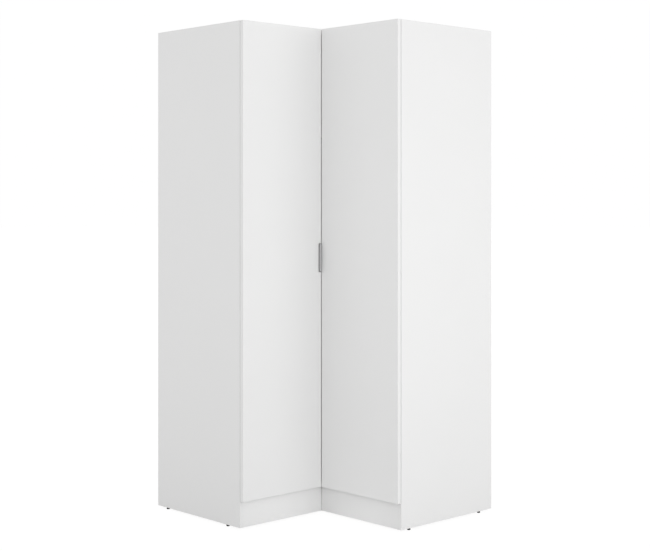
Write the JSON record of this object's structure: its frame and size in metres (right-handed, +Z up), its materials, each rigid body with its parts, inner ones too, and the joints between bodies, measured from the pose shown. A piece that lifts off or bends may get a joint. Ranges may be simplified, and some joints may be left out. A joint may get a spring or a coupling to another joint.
{
  "type": "corner wardrobe",
  "caption": "L-shaped corner wardrobe with hinged doors meeting in the inner corner, hat shelf, curved hanging rail, plinth and low glides.",
  "frame": {"origin": "middle of the outer box on the floor", "axes": "+Z up; the room corner is at (-X, +Y), one wing runs along -X and the other along +Y; the left door faces +X and the right door faces -Y"},
  "size_m": [0.92, 0.903, 1.842],
  "materials": {
    "carcass_board": "white melamine, satin",
    "door_board": "white melamine, satin",
    "hardboard_back": "white lacquered hardboard",
    "joiner_plastic": "white plastic",
    "foot_plastic": "black plastic",
    "pull_metal": "satin anodised",
    "rail_chrome": "polished",
    "hinge_steel": "nickel plated",
    "buffer_silicone": "clear silicone"
  },
  "bodies": {
    "carcass": {"left_end_panel": "carcass_board", "right_end_panel": "carcass_board", "top_panel": "carcass_board", "bottom_panel": "carcass_board", "upper_shelf": "carcass_board", "plinth_left": "carcass_board", "plinth_right": "carcass_board", "plinth_rear_side": "carcass_board", "plinth_rear_back": "carcass_board", "corner_post_side": "carcass_board", "corner_post_rear": "carcass_board", "back_side_front": "hardboard_back", "back_side_rear": "hardboard_back", "back_side_joiner": "joiner_plastic", "back_rear_left": "hardboard_back", "back_rear_right": "hardboard_back", "back_rear_joiner": "joiner_plastic", "hanging_rail": "rail_chrome", "rail_flange_left": "rail_chrome", "rail_flange_right": "rail_chrome", "rail_hanger": "rail_chrome", "foot_left_rear": "foot_plastic", "foot_left_front": "foot_plastic", "foot_right_front": "foot_plastic", "foot_right_rear": "foot_plastic", "support_leg_inner": "foot_plastic", "support_leg_rear": "foot_plastic", "wall_bracket_side": "hinge_steel", "wall_bracket_rear": "hinge_steel", "left_hinge_plate_lower": "hinge_steel", "left_hinge_arm_lower": "hinge_steel", "left_hinge_plate_middle": "hinge_steel", "left_hinge_arm_middle": "hinge_steel", "left_hinge_plate_upper": "hinge_steel", "left_hinge_arm_upper": "hinge_steel", "right_hinge_plate_lower": "hinge_steel", "right_hinge_arm_lower": "hinge_steel", "right_hinge_plate_middle": "hinge_steel", "right_hinge_arm_middle": "hinge_steel", "right_hinge_plate_upper": "hinge_steel", "right_hinge_arm_upper": "hinge_steel"},
    "left_door": {"left_door": "door_board", "left_door_buffer": "buffer_silicone", "left_hinge_cup_lower": "hinge_steel", "left_hinge_cup_middle": "hinge_steel", "left_hinge_cup_upper": "hinge_steel"},
    "right_door": {"right_door": "door_board", "right_door_buffer": "buffer_silicone", "edge_pull": "pull_metal", "pull_screw_lower": "hinge_steel", "pull_screw_upper": "hinge_steel", "right_hinge_cup_lower": "hinge_steel", "right_hinge_cup_middle": "hinge_steel", "right_hinge_cup_upper": "hinge_steel"},
    "left_hinge_links": {"left_hinge_link_lower": "hinge_steel", "left_hinge_link_middle": "hinge_steel", "left_hinge_link_upper": "hinge_steel"},
    "right_hinge_links": {"right_hinge_link_lower": "hinge_steel", "right_hinge_link_middle": "hinge_steel", "right_hinge_link_upper": "hinge_steel"}
  },
  "joints": [
    {"name": "left_door_hinge", "type": "hinge", "parent": "carcass", "child": "left_door", "pos_m": [0.0525, -0.446, 0.97], "axis": [0, 0, -1], "range_deg": [0, 95]},
    {"name": "right_door_hinge", "type": "hinge", "parent": "carcass", "child": "right_door", "pos_m": [0.4545, -0.061, 0.97], "axis": [0, 0, 1], "range_deg": [0, 95]},
    {"name": "left_link_swing", "type": "hinge", "parent": "carcass", "child": "left_hinge_links", "pos_m": [0.0525, -0.446, 0.97], "axis": [0, 0, -1], "range_deg": [0, 59]},
    {"name": "right_link_swing", "type": "hinge", "parent": "carcass", "child": "right_hinge_links", "pos_m": [0.4545, -0.061, 0.97], "axis": [0, 0, 1], "range_deg": [0, 59]}
  ],
  "couplings": [
    {"joint": "left_link_swing", "follows": "left_door_hinge", "ratio": 0.62},
    {"joint": "right_link_swing", "follows": "right_door_hinge", "ratio": 0.62}
  ]
}
